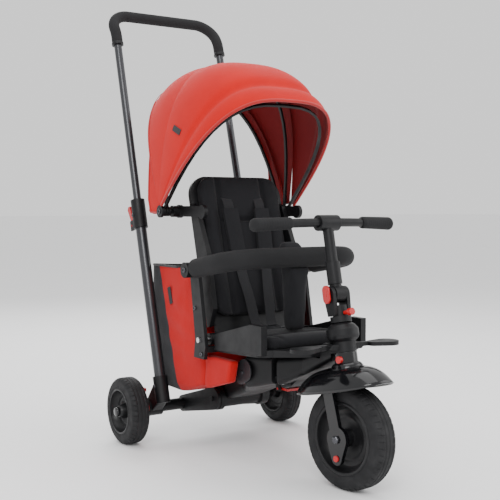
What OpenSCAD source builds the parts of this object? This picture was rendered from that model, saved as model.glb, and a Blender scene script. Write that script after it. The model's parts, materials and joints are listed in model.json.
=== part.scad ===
// Children's tricycle with a push handle, canopy, safety bar and parent steering.
// Millimetres. The front is -Y, up is +Z, and the child's right is -X.
// The origin is on the floor, at the middle of the whole tricycle.

/* [Rear wheels and frame] */
// Distance between the centres of the two rear wheels
rear_track = 428; // [390:2:480]
// Outer radius of a rear tyre
rear_r = 77; // [65:1:90]
// Width of a rear tyre
rear_w = 44; // [34:1:48]
// Radius of the rim that carries a rear tyre
rear_bead_r = 53; // [40:1:56]
// Diameter of the steel axle rod through the rear wheels
axle_d = 10; // [8:1:12]
// Outer diameter of the beam that carries the axle rod
beam_d = 27; // [20:1:32]
// Diameter of the drum that joins the body to the rear frame
drum_d = 44; // [36:1:50]
// Distance from the rear axle forward to the drum
drum_y = 143; // [110:1:160]
// Height of the drum's axis
drum_z = 113; // [105:1:125]

/* [Front wheel and fork] */
// Distance from the rear axle forward to the front axle
wheelbase = 553; // [530:1:600]
// Outer radius of the front tyre
front_r = 101; // [88:1:112]
// Width of the front tyre
front_w = 50; // [40:1:56]
// Radius of the rim that carries the front tyre
front_bead_r = 72; // [60:1:80]
// Backward lean of the steering axis, in degrees
rake = 12.5; // [8:0.5:18]
// Distance from the steering axis back to the front axle
trail = 17; // [8:1:24]
// How far the fork is turned to the child's left at rest, in degrees
steer_rest = 8; // [-20:1:20]
// Height of the middle of the head housing
head_z = 283; // [270:1:300]
// Thickness of a fork leg
leg_t = 9; // [6:1:12]

/* [Push handle] */
// Distance between the centres of the two handle tubes
handle_w = 296; // [280:2:320]
// Outer diameter of the sliding handle tube
handle_d = 19; // [16:1:22]
// Outer diameter of the lower tubes
lower_tube_d = 26; // [24:1:30]
// Backward lean of the push handle, in degrees
handle_lean = 15.3; // [10:0.1:20]
// Length of the handle above the clamp sleeves
handle_rise = 502; // [450:2:560]
// Outer diameter of the foam on the handle
grip_d = 27; // [24:1:34]

/* [Seat] */
// Width of the seat pad
seat_w = 220; // [200:2:236]
// Thickness of the seat pad
seat_pad_t = 24; // [16:1:30]
// Width of the backrest
back_w = 244; // [224:2:250]
// Height of the backrest above its hinge
back_h = 368; // [330:2:400]
// Backward lean of the backrest at rest, in degrees
back_lean = 15; // [10:1:20]
// Thickness of the backrest pad
back_pad_t = 18; // [12:1:22]

/* [Safety bar] */
// Distance between the two pivots of the safety bar
bar_w = 314; // [306:2:330]
// Distance from the pivots forward to the front of the bar
bar_reach = 196; // [180:2:210]
// Diameter of the tube in the safety bar
bar_tube_d = 16; // [12:1:20]
// Outer diameter of the foam on the safety bar
bar_foam_d = 42; // [34:1:44]

/* [Canopy] */
// Half of the canopy's width
canopy_half_w = 182; // [176:1:196]
// Radius of the canopy's front panel
canopy_r = 345; // [336:1:356]
// Squareness of the canopy's arch, where 2 is an ellipse
canopy_power = 3; // [2.4:0.1:3.6]
// Thickness of the canopy fabric
canopy_t = 2.4; // [2:0.1:3]

/* [Handlebar] */
// Length of the handlebar over its grips
handlebar_w = 356; // [320:2:400]
// Diameter of the handlebar tube
handlebar_d = 18; // [16:1:22]
// Outer diameter of a handlebar grip
handlebar_grip_d = 27; // [24:1:32]

/* [Storage bag] */
// Outer width of the storage bag
bag_w = 252; // [230:2:256]
// Thickness of the bag's walls
bag_t = 4; // [3:0.5:6]

/* [Fits] */
// Radial clearance of a pin or shaft that turns
run_c = 0.05; // [0.02:0.01:0.1]
// Radial clearance between parts that are fixed together
fix_c = 0.02; // [0.01:0.01:0.05]
// Gap between parts that pass each other
pass_c = 0.5; // [0.3:0.1:1]

/* [Hidden] */
$fn = 64;
facet_fn = 32;
axle_r = axle_d/2;
beam_r = beam_d/2;
drum_r = drum_d/2;
pin_r = 6;
wheel_in_w = rear_w + 4;

// The front tyre's crown touches the floor although the fork leans and is turned.
tyre_shoulder = 14;
axle_tilt = sin(steer_rest)*sin(rake);
axle_turn = sin(steer_rest)*cos(rake);
crown_drop = (front_r - tyre_shoulder)*sqrt(1 - axle_tilt*axle_tilt) + tyre_shoulder;
front_z = crown_drop + abs(axle_tilt)*(front_w/2 - tyre_shoulder);
hub_z = (front_z - head_z + trail*cos(steer_rest)*sin(rake))/cos(rake);
steer_y = -wheelbase - trail*cos(steer_rest)*cos(rake) - hub_z*sin(rake);

// The head housing and what sits in it, measured along the steering axis.
head_low = -18;
head_top = 40;
head_r = 32;
steerer_r = 13;
crown_low = -44;
yoke_top = 76;
fold_z = 97;
fold_y = 3;
stem_top = 241;

// The push handle is a U that leans back from its clamp sleeves.
handle_y = 76;
handle_z = 559;
corner_r = 50;
bend_a = 22;
bend_r = 77;
bend_start = handle_rise - corner_r*cos(bend_a) - bend_r*sin(bend_a);
bend_back = bend_r*(1 - cos(bend_a)) + corner_r*sin(bend_a);
sleeve_low = -62;
sleeve_top = 8;
lower_tube_top = -12;
foot_low = -480;
handle_insert = 200;
handle_r = handle_d/2;
lower_tube_r = lower_tube_d/2;
sleeve_r = lower_tube_r + 4;
handle_back = handle_y + bend_back*cos(handle_lean) + handle_rise*sin(handle_lean) + grip_d/2;

// The rear axle's place, with the origin at the middle of the tricycle's length.
front_half = (front_r - tyre_shoulder)*sqrt(1 - axle_turn*axle_turn) + tyre_shoulder
    + abs(axle_turn)*(front_w/2 - tyre_shoulder);
rear_axle_y = (wheelbase + front_half - handle_back)/2;

// Seat and backrest.
seat_y = -330;
seat_z = 258;
seat_tilt = 4;
seat_front = -115;
seat_rear = 104;
seat_base_t = 14;
back_y = -215;
back_z = 262;
back_t = 10;
back_r = 45;
arm_x = 138;
arm_t = 8;

// Safety bar.
bar_y = -190;
bar_z = 413;
bar_rise = 9.4;
bar_corner_r = 72;
bar_foam_start = 34;

// Canopy, about its pivot axis. The panels nest inside each other.
canopy_y = -95;
canopy_z = 540;
panel_step = 6;
front_edge = 48;
front_start = 6;
mid_start = -27;
rear_end = -42;
bow_t = 5;
bow_w = 7;
bow_step = 6.5;
bow_pin_r = 5;

// Body and neck.
neck_y = -384;
neck_z = 186;
neck_pin_r = 5;
knuckle_r = 12;
latch_y = neck_y + 44;
latch_z = neck_z - 22;
footrest_x = 34;
footrest_y = steer_y + 4;
footrest_z = head_z - 6;
lip_y = seat_y + (seat_front - 46)*cos(seat_tilt);
lip_z = seat_z - 16*cos(seat_tilt) - (seat_front - 22)*sin(seat_tilt);
body_half_w = 48;

// Placement: every sub-part is drawn from the rear axle's ground point.
module placed() { translate([0, rear_axle_y, 0]) children(); }
module both_sides() {
    children();
    mirror([1, 0, 0]) children();
}
module along_x(r, x0, x1, fn = 64) {
    translate([min(x0, x1), 0, 0]) rotate([0, 90, 0]) cylinder(h = abs(x1 - x0), r = r, $fn = fn);
}
module in_handle() { translate([0, handle_y, handle_z]) rotate([-handle_lean, 0, 0]) children(); }
module in_steering() { translate([0, steer_y, head_z]) rotate([-rake, 0, 0]) children(); }
module in_fork() { in_steering() rotate([0, 0, steer_rest]) children(); }
module in_front_wheel() { in_fork() translate([0, trail, hub_z]) children(); }
module in_seat() { translate([0, seat_y, seat_z]) rotate([-seat_tilt, 0, 0]) children(); }
module in_back() { translate([0, back_y, back_z]) rotate([-back_lean, 0, 0]) children(); }
module in_bar() { translate([0, bar_y, bar_z]) rotate([-bar_rise, 0, 0]) children(); }
module in_canopy(angle = 0) { translate([0, canopy_y, canopy_z]) rotate([angle, 0, 0]) children(); }

// Flat outlines.
module round_rect(w, h, r) {
    translate([-w/2 + r, -h/2]) square([w - 2*r, h]);
    translate([-w/2, -h/2 + r]) square([w, h - 2*r]);
    for (sx = [-1, 1], sy = [-1, 1]) translate([sx*(w/2 - r), sy*(h/2 - r)]) circle(r);
}
// A side-view outline in Y and Z, made as thick as x0 to x1.
module side_plate(x0, x1) {
    translate([x0, 0, 0]) rotate([90, 0, 90]) linear_extrude(x1 - x0) children();
}
// A rounded cross-section of the body, standing across Y.
module station(y, z0, z1, half_w, r = 12) {
    translate([0, y + 0.5, (z0 + z1)/2]) rotate([90, 0, 0]) linear_extrude(1)
        round_rect(2*half_w, z1 - z0, r, $fn = facet_fn);
}

// Rear wheels.
module tyre(r, w, bead_r, shoulder) {
    rotate([0, 90, 0]) rotate_extrude($fn = 96) {
        translate([bead_r, -w/2]) square([r - shoulder - bead_r, w]);
        translate([bead_r, -w/2 + shoulder]) square([r - bead_r, w - 2*shoulder]);
        for (s = [-1, 1]) translate([r - shoulder, s*(w/2 - shoulder)]) circle(shoulder, $fn = 32);
    }
}
module rim(bead_r, w, bore_r, hub_r, hub_half) {
    web_t = 7;
    rotate([0, 90, 0]) rotate_extrude($fn = 96) {
        translate([bore_r, -hub_half]) square([hub_r - bore_r, 2*hub_half]);
        translate([hub_r - 1, -web_t/2]) square([bead_r - 6 - hub_r, web_t]);
        translate([bead_r - 8, -w/2 + 2]) square([8 - fix_c, w - 4]);
    }
    for (k = [0:4]) rotate([72*k, 0, 0]) for (s = [-1, 1])
        translate([s*(web_t/2 + 4) - 4.5, -5, hub_r - 1]) cube([9, 10, bead_r - hub_r - 5]);
}
module rear_wheel_at(side) { translate([side*rear_track/2, 0, rear_r]) children(); }
module rear_tyre(side) {
    color("dimgray") placed() rear_wheel_at(side) tyre(rear_r, rear_w, rear_bead_r, 12);
}
module rear_rim(side) {
    color("darkslategray") placed() rear_wheel_at(side)
        rim(rear_bead_r, rear_w, axle_r + run_c, 13, wheel_in_w/2);
}
axle_end = rear_track/2 + wheel_in_w/2 + 6;
module rear_axle() {
    color("silver") placed() translate([0, 0, rear_r]) along_x(axle_r, -axle_end, axle_end);
}
module axle_caps() {
    color("black") placed() both_sides() translate([0, 0, rear_r]) difference() {
        along_x(11, axle_end - 5, axle_end + 3);
        along_x(axle_r, axle_end - 6, axle_end);
    }
}
beam_end = rear_track/2 - wheel_in_w/2 - 2;
module axle_beam() {
    color("black") placed() translate([0, 0, rear_r]) difference() {
        along_x(beam_r, -beam_end, beam_end);
        along_x(axle_r + fix_c, -beam_end - 1, beam_end + 1);
    }
}

// Feet, tubes and sleeves of the push handle.
foot_half = sleeve_r + 1;
module tube_foot(side) {
    socket_h = 62;
    color("black") placed() difference() {
        union() {
            translate([side*handle_w/2, 0, rear_r])
                along_x(beam_r + 6, -foot_half, foot_half);
            in_handle() translate([side*handle_w/2, 0, foot_low]) cylinder(h = socket_h, r = sleeve_r);
            hull() {
                translate([side*handle_w/2, 0, rear_r])
                    along_x(beam_r + 2, -foot_half + 4, foot_half - 4, facet_fn);
                in_handle() translate([side*handle_w/2, 0, foot_low + 6])
                    cylinder(h = socket_h - 16, r = lower_tube_r, $fn = facet_fn);
            }
        }
        translate([side*handle_w/2, 0, rear_r])
            along_x(beam_r + fix_c, -foot_half - 1, foot_half + 1);
        in_handle() translate([side*handle_w/2, 0, foot_low + 8])
            cylinder(h = socket_h, r = lower_tube_r + fix_c);
    }
}
module lower_tubes() {
    length = lower_tube_top - foot_low - 8;
    color("dimgray") placed() both_sides() in_handle()
        translate([-handle_w/2, 0, foot_low + 8]) difference() {
            cylinder(h = length, r = lower_tube_r);
            translate([0, 0, 6]) cylinder(h = length, r = handle_r + run_c);
        }
}
lever_x = 14;
lever_y = sleeve_r + 6;
module clamp_sleeves() {
    color("black") placed() both_sides() in_handle() translate([-handle_w/2, 0, 0]) difference() {
        union() {
            translate([0, 0, sleeve_low]) cylinder(h = sleeve_top - sleeve_low, r = sleeve_r);
            for (s = [-1, 1]) translate([s*(lever_x/2 + 3) - 2.5, 0, sleeve_low])
                cube([5, lever_y + 7, 24]);
        }
        translate([0, 0, sleeve_low - 1])
            cylinder(h = lower_tube_top - sleeve_low + 1, r = lower_tube_r + fix_c);
        translate([0, 0, lower_tube_top - 1])
            cylinder(h = sleeve_top - lower_tube_top + 2, r = handle_r + run_c);
        translate([0, lever_y, sleeve_low + 12]) along_x(3, -20, 20);
    }
}
// A wedge lever that is squeezed towards the tube, on its own pin.
module release_lever(side) {
    color("red") placed() in_handle() translate([side*handle_w/2, 0, 0]) {
        translate([0, lever_y, sleeve_low + 12]) along_x(3 - run_c, -12, 12);
        side_plate(-lever_x/2 - pass_c + 1, lever_x/2 + pass_c - 1)
            polygon([[lever_y - 4, sleeve_low + 5], [lever_y + 6, sleeve_low + 7],
                [lever_y + 24, -6], [lever_y + 20, 1], [lever_y + 11, 1],
                [lever_y + 0.5, sleeve_low + 24]]);
    }
}
module handle_path(r, t0, foam = false) {
    if (!foam) both_sides() translate([-handle_w/2, 0, t0]) cylinder(h = bend_start - t0, r = r);
    if (foam) both_sides() translate([-handle_w/2, 0, bend_start - 12]) cylinder(h = 12, r = r);
    both_sides() translate([-handle_w/2, bend_r, bend_start]) rotate([90, 0, -90])
        rotate_extrude(angle = bend_a) translate([bend_r, 0]) circle(r);
    translate([0, bend_r*(1 - cos(bend_a)), bend_start + bend_r*sin(bend_a)])
        rotate([-bend_a, 0, 0]) {
            both_sides() translate([-handle_w/2 + corner_r, 0, 0]) rotate([90, 0, 0])
                rotate([0, 0, 90]) rotate_extrude(angle = 90) translate([corner_r, 0]) circle(r);
            translate([0, 0, corner_r]) along_x(r, -handle_w/2 + corner_r, handle_w/2 - corner_r);
        }
}
module handle_tube() {
    color("dimgray") placed() in_handle() difference() {
        handle_path(handle_r, lower_tube_top - handle_insert);
        handle_path(handle_r - 1.5, lower_tube_top - handle_insert - 1);
    }
}
module handle_foam() {
    color("black") placed() in_handle() difference() {
        handle_path(grip_d/2, 0, true);
        handle_path(handle_r + fix_c, bend_start - 20);
    }
}

// Rear links, drum and body.
module rear_links() {
    color("black") placed() both_sides() difference() {
        hull() {
            translate([0, 0, rear_r]) along_x(beam_r + 6, 62, 70, facet_fn);
            translate([0, -drum_y, drum_z]) along_x(drum_r + 4, 62, 70, facet_fn);
        }
        translate([0, 0, rear_r]) along_x(beam_r + fix_c, 60, 72);
        translate([0, -drum_y, drum_z]) along_x(pin_r + fix_c, 60, 72);
    }
}
module drum() {
    color("black") placed() translate([0, -drum_y, drum_z]) {
        along_x(drum_r, -54, 54);
        both_sides() along_x(drum_r + 5, 50, 61);
        along_x(pin_r, -74, 74);
    }
}
module body_shell() {
    color("black") placed() difference() {
        union() {
            hull() {
                station(-drum_y + 30, 92, 138, 44);
                station(-240, 142, 218, body_half_w);
            }
            hull() {
                station(-240, 142, 218, body_half_w);
                station(-316, 168, 238, 92);
            }
            hull() {
                station(-316, 168, 238, 92);
                station(neck_y + 4, 184, 242, 70);
            }
        }
        translate([0, -drum_y, drum_z]) along_x(drum_r + fix_c, -60, 60);
        translate([0, neck_y, neck_z]) along_x(knuckle_r + 1.5, -60, 60);
        translate([0, neck_y - 3, neck_z]) cube([200, 10, 200], center = true);
    }
    color("black") placed() both_sides() difference() {
        hull() {
            translate([0, neck_y, neck_z]) along_x(knuckle_r, 30, 42, facet_fn);
            translate([0, neck_y + 22, neck_z + 14]) along_x(8, 30, 42, facet_fn);
        }
        translate([0, neck_y, neck_z]) along_x(neck_pin_r + fix_c, 28, 44);
    }
    color("black") placed() both_sides() difference() {
        translate([20.5, latch_y - 6, latch_z - 5]) cube([6, 12, 24]);
        translate([0, latch_y, latch_z]) along_x(2.5 + run_c, 18, 30);
    }
}
module body_side_panels() {
    color("dimgray") placed() both_sides() hull() {
        translate([92.3, -316, 206]) rotate([0, 90, 0]) cylinder(h = 3, r = 24, $fn = facet_fn);
        translate([92.3, -300, 196]) rotate([0, 90, 0]) cylinder(h = 3, r = 22, $fn = facet_fn);
    }
}

// Seat.
module seat_pan() {
    color("black") placed() {
        in_seat() hull() {
            translate([0, seat_rear, -seat_base_t]) linear_extrude(seat_base_t)
                translate([0, -20]) round_rect(236, 40, 14, $fn = facet_fn);
            translate([0, seat_front, -seat_base_t]) linear_extrude(seat_base_t)
                translate([0, 40]) round_rect(262, 80, 30, $fn = facet_fn);
        }
        in_seat() hull() {
            translate([0, seat_front, -seat_base_t]) linear_extrude(seat_base_t)
                translate([0, 20]) round_rect(236, 40, 16, $fn = facet_fn);
            translate([0, seat_front - 34, -seat_base_t - 2]) linear_extrude(10)
                round_rect(120, 24, 11, $fn = facet_fn);
        }
        both_sides() hull() {
            translate([118, seat_y + 66, seat_z - 14]) cube([12, 12, 34]);
            translate([120, seat_y - 108, seat_z - 2]) cube([14, 40, 58]);
        }
    }
}
module seat_pad() {
    color("black") placed() in_seat() translate([0, (seat_front + seat_rear)/2 - 6, 0])
        linear_extrude(seat_pad_t) round_rect(seat_w, seat_rear - seat_front - 34, 30);
}
module seat_arms() {
    color("black") placed() both_sides() difference() {
        side_plate(arm_x, arm_x + arm_t) {
            translate([bar_y, bar_z]) circle(20);
            translate([back_y, back_z]) circle(18);
            polygon([[bar_y + 16, bar_z - 4], [bar_y - 20, bar_z + 2], [back_y - 26, back_z - 12],
                [back_y - 20, back_z - 40], [back_y + 24, back_z - 40], [back_y + 18, back_z]]);
        }
        translate([0, bar_y, bar_z]) along_x(pin_r + run_c, arm_x - 2, arm_x + arm_t + 2);
        translate([0, back_y, back_z]) along_x(pin_r + fix_c, arm_x - 2, arm_x + arm_t + 2);
    }
    color("black") placed() both_sides() translate([118.1, back_y - 28, back_z - 25])
        cube([arm_x - 118.1, 24, 12]);
}
module recline_pin() {
    color("silver") placed() translate([0, back_y, back_z])
        along_x(pin_r, -arm_x - arm_t - 4, arm_x + arm_t + 4);
}
module backrest_shell() {
    color("black") placed() in_back() difference() {
        union() {
            translate([0, back_t/2, back_h/2 + 10]) rotate([90, 0, 0]) linear_extrude(back_t)
                round_rect(back_w, back_h - 20, back_r);
            along_x(13, -back_w/2, back_w/2);
            translate([-back_w/2 + 20, -back_t/2, 4]) cube([back_w - 40, back_t, 40]);
            both_sides() side_plate(back_w/2 - 11, back_w/2)
                polygon([[0, back_h - 60], [-20, back_h - 74], [-42, back_h*0.5], [-36, 60],
                    [-10, 26], [0, 26]]);
        }
        along_x(pin_r + run_c, -back_w/2 - 1, back_w/2 + 1);
    }
}
module back_pad() {
    color("black") placed() in_back() translate([0, -back_t/2 - 0.02, back_h/2 + 22])
        rotate([90, 0, 0]) linear_extrude(back_pad_t) round_rect(back_w - 32, back_h - 50, 34);
}
strap_w = 30;
strap_t = 3;
strap_y = -back_t/2 - back_pad_t - 0.02;
module shoulder_straps() {
    color("black") placed() in_back() both_sides()
        translate([44, strap_y - strap_t/2, 170]) cube([strap_w, strap_t, 210], center = true);
}
module lap_belt() {
    color("black") placed() in_seat() both_sides()
        translate([62, 52, seat_pad_t + strap_t/2 + 0.02]) cube([84, strap_w, strap_t], center = true);
}
module buckle() {
    color("dimgray") placed() in_seat() translate([0, 52, seat_pad_t + 0.02])
        linear_extrude(10) round_rect(38, 44, 9);
}

// Canopy.
function arch_x(a, t) = a*sign(cos(t))*pow(abs(cos(t)), 2/canopy_power);
function arch_r(b, t) = b*pow(sin(t), 2/canopy_power);
arch_steps = 22;
panel_lift = 5;
function arch_points(a, b, t0) =
    [for (i = [0:arch_steps]) let (t = t0 + (180 - 2*t0)*i/arch_steps) [arch_r(b, t), arch_x(a, t)]];
module panel(layer, a0, a1) {
    a = canopy_half_w - layer*panel_step;
    b = canopy_r - layer*panel_step - (layer > 0 ? panel_step : 0);
    outer = arch_points(a, b, panel_lift);
    inner = arch_points(a - canopy_t, b - canopy_t, panel_lift);
    points = concat(outer, [for (i = [arch_steps:-1:0]) inner[i]]);
    // A panel runs from a0 to a1 degrees in front of the vertical.
    rotate([0, 90, 0]) rotate([0, 0, 180 + a0])
        rotate_extrude(angle = a1 - a0, $fn = 96) polygon(points);
}
module bow(layer) {
    a = canopy_half_w - 10 - layer*bow_step;
    b = canopy_r - 3*panel_step - canopy_t - 3;
    outer = arch_points(a, b, 0);
    inner = arch_points(a - bow_t, b - bow_t, 0);
    difference() {
        union() {
            translate([0, bow_w/2, 0]) rotate([90, 0, 0]) linear_extrude(bow_w) difference() {
                polygon([for (p = outer) [p[1], p[0]]]);
                polygon(concat([for (p = inner) [p[1], p[0]]], [[-a + bow_t, -20], [a - bow_t, -20]]));
            }
            both_sides() along_x(11, a - bow_t, a);
        }
        along_x(bow_pin_r + run_c, -a - 5, a + 5);
    }
}
module canopy_rear_bow() { color("black") placed() in_canopy(mid_start + 1) bow(2); }
module canopy_mid_bow() { color("black") placed() in_canopy(front_start) bow(1); }
module canopy_front_bow() { color("black") placed() in_canopy(front_edge - 3) bow(0); }
module canopy_rear_panel() {
    color("firebrick") placed() in_canopy() panel(2, rear_end, mid_start + 4);
}
module canopy_mid_panel() {
    color("red") placed() in_canopy() panel(1, mid_start, front_start + 4);
}
module canopy_front_panel() {
    color("red") placed() in_canopy() panel(0, front_start, front_edge);
}
module canopy_arms() {
    color("black") placed() both_sides() difference() {
        union() {
            side_plate(back_w/2 + 1, back_w/2 + 9) {
                translate([canopy_y, canopy_z]) circle(15);
                translate([canopy_y - 104, canopy_z - 1]) circle(15);
                translate([canopy_y - 104, canopy_z - 12]) square([104, 24]);
            }
            translate([0, canopy_y, canopy_z]) along_x(13, back_w/2 + 9, canopy_half_w - 34);
        }
        translate([0, canopy_y, canopy_z]) along_x(bow_pin_r + fix_c, back_w/2 - 2, canopy_half_w);
    }
}
module canopy_pivots() {
    color("black") placed() both_sides() translate([0, canopy_y, canopy_z]) {
        along_x(bow_pin_r, back_w/2 + 1, canopy_half_w - 4);
        along_x(14, canopy_half_w - 9, canopy_half_w - 3);
    }
}

// Safety bar and crotch post.
module bar_path(r, y_start) {
    both_sides() translate([-bar_w/2, -y_start, 0]) rotate([90, 0, 0])
        cylinder(h = bar_reach - bar_corner_r - y_start, r = r);
    both_sides() translate([-bar_w/2 + bar_corner_r, -bar_reach + bar_corner_r, 0])
        rotate([0, 0, 180]) rotate_extrude(angle = 90) translate([bar_corner_r, 0]) circle(r);
    translate([0, -bar_reach, 0])
        along_x(r, -bar_w/2 + bar_corner_r, bar_w/2 - bar_corner_r);
}
module bar_tube() { color("black") placed() in_bar() bar_path(bar_tube_d/2, 14); }
module bar_foam() {
    color("black") placed() in_bar() difference() {
        bar_path(bar_foam_d/2, bar_foam_start);
        bar_path(bar_tube_d/2 + fix_c, bar_foam_start - 4);
    }
}
module bar_pivots() {
    color("black") placed() in_bar() both_sides() difference() {
        union() {
            along_x(17, bar_w/2 - 8, bar_w/2 + 12);
            along_x(pin_r, arm_x, bar_w/2);
            translate([bar_w/2, -30, 0]) rotate([-90, 0, 0]) cylinder(h = 24, r = bar_tube_d/2 + 3);
        }
        translate([bar_w/2, -31, 0]) rotate([-90, 0, 0]) cylinder(h = 17, r = bar_tube_d/2 + fix_c);
    }
}
module crotch_post() {
    color("black") placed() difference() {
        hull() {
            translate([0, bar_y - bar_reach + 40, bar_z + 52]) along_x(12, -22, 22, facet_fn);
            translate([0, bar_y - bar_reach + 12, bar_z + 20]) along_x(12, -24, 24, facet_fn);
            translate([0, seat_y - 34, seat_z + seat_pad_t + 22]) along_x(15, -19, 19, facet_fn);
        }
        in_bar() translate([0, -bar_reach, 0]) along_x(bar_foam_d/2 + fix_c, -40, 40);
    }
}

// Storage bag behind and below the seat.
bag_rear = 52;
bag_top = 414;
module bag_outline() {
    polygon([[bag_rear - 10, 128], [bag_rear, 150], [bag_rear, bag_top], [-89, bag_top],
        [-146, 400], [-170, 360], [-186, 306], [-196, 262], [-190, 236], [-210, 232],
        [-210, 160], [-103, 126]]);
}
module storage_bag() {
    color("red") placed() difference() {
        union() {
            side_plate(-bag_w/2, bag_w/2) bag_outline();
            for (s = [-1, 1]) translate([s*(bag_w/2 - 13), 0, 0]) side_plate(-13, 13)
                polygon([[-210, 150], [-300, 178], [-312, 228], [-210, 228]]);
        }
        translate([-bag_w/2 + bag_t, -84, 232]) cube([bag_w - 2*bag_t, bag_rear + 84 - bag_t, 200]);
        translate([-bag_w/2 + bag_t, -160, 232]) cube([bag_w - 2*bag_t, 90, 110]);
        translate([-74, -340, 80]) cube([148, 240, 150]);
        translate([-74, -110, 80]) cube([148, 60, 60]);
    }
}

// Neck, head housing and footrests.
module neck_shell() {
    color("black") placed() difference() {
        union() {
            hull() {
                station(neck_y - 10, 184, 240, 66);
                station(neck_y - 60, 210, 248, 40);
            }
            hull() {
                station(neck_y - 60, 210, 248, 40);
                in_steering() translate([0, 0, head_low]) cylinder(h = 10, r = 22, $fn = facet_fn);
            }
            hull() {
                translate([0, neck_y, neck_z]) along_x(knuckle_r, -29, 29, facet_fn);
                translate([0, neck_y - 24, neck_z + 14]) along_x(8, -29, 29, facet_fn);
            }
            in_steering() rotate_extrude($fn = 64) {
                polygon([[0, head_low], [23, head_low], [23, 2], [head_r - 2, 8], [head_r, 14],
                    [head_r, 26], [head_r - 6, 35], [head_r - 14, head_top], [0, head_top]]);
            }
        }
        in_steering() translate([0, 0, head_low - 1])
            cylinder(h = head_top - head_low + 2, r = steerer_r + run_c);
        translate([0, neck_y, neck_z]) along_x(neck_pin_r + run_c, -40, 40);
        both_sides() translate([0, neck_y, neck_z]) along_x(knuckle_r + 1.5, 29.5, 42.5);
        // Room for the turning crown of the fork.
        in_steering() translate([0, 0, head_low - 60]) cylinder(h = 60, r = 29);
        // Room for the front lip of the seat.
        translate([-70, lip_y - 2, lip_z - 1.5]) cube([140, 90, 60]);
        both_sides() footrest_slot();
    }
    color("black") placed() both_sides() for (k = [-1, 1])
        translate([-footrest_x, footrest_y + k*11, footrest_z]) difference() {
            union() {
                rotate([90, 0, 0]) cylinder(h = 7.6, r = 6, center = true);
                translate([0, -3.8, -6]) cube([footrest_x - 19, 7.6, 12]);
            }
            rotate([90, 0, 0]) cylinder(h = 12, r = 2.5 + run_c, center = true);
            translate([footrest_x, 0, 0]) rotate([-rake, 0, 0])
                cylinder(h = 80, r = steerer_r + 4, center = true);
        }
}
module footrest_slot() {
    translate([-footrest_x - 7, footrest_y - 8, footrest_z - 7]) cube([14, 16, 14]);
}
module neck_pin() {
    color("silver") placed() translate([0, neck_y, neck_z]) along_x(neck_pin_r, -44, 44);
}
module fold_lever() {
    color("red") placed() {
        translate([0, latch_y, latch_z]) along_x(2.5, -27, 27);
        translate([-19, latch_y - 26, latch_z - 3]) cube([38, 30, 5]);
    }
}
// A leaf that hinges up about a pin along Y.
module footrest(side) {
    color("black") placed() translate([side*footrest_x, footrest_y, footrest_z]) {
        rotate([90, 0, 0]) cylinder(h = 14, r = 6, center = true);
        rotate([90, 0, 0]) cylinder(h = 30, r = 2.5, center = true);
        translate([min(0, side*30), -6, -4]) cube([30, 12, 8]);
        hull() {
            translate([side*40, -6, -4]) cylinder(h = 8, r = 14, $fn = facet_fn);
            translate([side*72, -10, -4]) cylinder(h = 8, r = 24, $fn = facet_fn);
        }
    }
}

// Fork, fender and front wheel.
fork_leg_x = front_w/2 + 5;
bridge_low = front_r + 12;
bridge_h = 10;
module fork_leg() {
    side_plate(fork_leg_x, fork_leg_x + leg_t) {
        polygon([[-13, -8], [13, -8], [22, bridge_low + bridge_h], [-2, bridge_low + bridge_h]]);
        circle(25);
        translate([6, -36]) circle(13);
        polygon([[-20, -15], [23, -10], [19, -38], [-7, -38]]);
    }
}
module fork() {
    crown_h = head_low - pass_c - crown_low;
    color("black") placed() difference() {
        union() {
            in_fork() {
                translate([0, 0, crown_low - 18]) cylinder(h = crown_h + 18, r = 23);
                translate([0, 0, crown_low]) cylinder(h = head_top - crown_low, r = steerer_r);
            }
            in_front_wheel() {
                both_sides() fork_leg();
                translate([0, 10, bridge_low]) linear_extrude(bridge_h)
                    round_rect(2*(fork_leg_x + leg_t), 24, 8);
            }
        }
        in_front_wheel() along_x(axle_r + run_c, -60, 60);
        in_fork() translate([0, 0, -9]) cylinder(h = 80, r = 9 + run_c);
        in_fork() translate([0, -4, crown_low + 12]) along_x(7 + run_c, -40, -16);
        in_front_wheel() translate([0, 6, -36]) along_x(6 + run_c, -60, 0);
    }
}
module fender() {
    color("black") placed() in_front_wheel() difference() {
        hull() {
            translate([0, 0, front_r - 9]) linear_extrude(3) round_rect(118, 226, 58, $fn = facet_fn);
            translate([0, -6, front_r + 22]) linear_extrude(2) round_rect(104, 130, 50, $fn = facet_fn);
            translate([0, -trail + 2, front_r + 38]) cylinder(h = 1, r = 27, $fn = facet_fn);
        }
        along_x(front_r + 8, -front_w/2 - 3.5, front_w/2 + 3.5);
        translate([0, -trail, 0]) cylinder(h = 300, r = 23 + fix_c);
        translate([-fork_leg_x - leg_t - 0.1, -6, front_r - 20])
            cube([2*(fork_leg_x + leg_t) + 0.2, 30, bridge_low + bridge_h - front_r + 20.1]);
    }
}
module steer_lock() {
    color("red") placed() in_fork() translate([0, -4, crown_low + 12]) along_x(7, -27, -19.5);
}
module front_tyre() {
    color("dimgray") placed() in_front_wheel() tyre(front_r, front_w, front_bead_r, tyre_shoulder);
}
module front_rim() {
    color("dimgray") placed() in_front_wheel() {
        difference() {
            rim(front_bead_r, front_w, 3, 16, front_w/2 + 3);
            along_x(axle_r, -front_w/2 - 4, front_w/2 + 4);
        }
        along_x(axle_r, -front_w/2 - leg_t - 12, front_w/2 + leg_t + 12);
    }
}
module clutch_button() {
    color("red") placed() in_front_wheel()
        translate([0, 6, -36]) along_x(6, -fork_leg_x - leg_t - 3, -fork_leg_x - 3);
}

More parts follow.
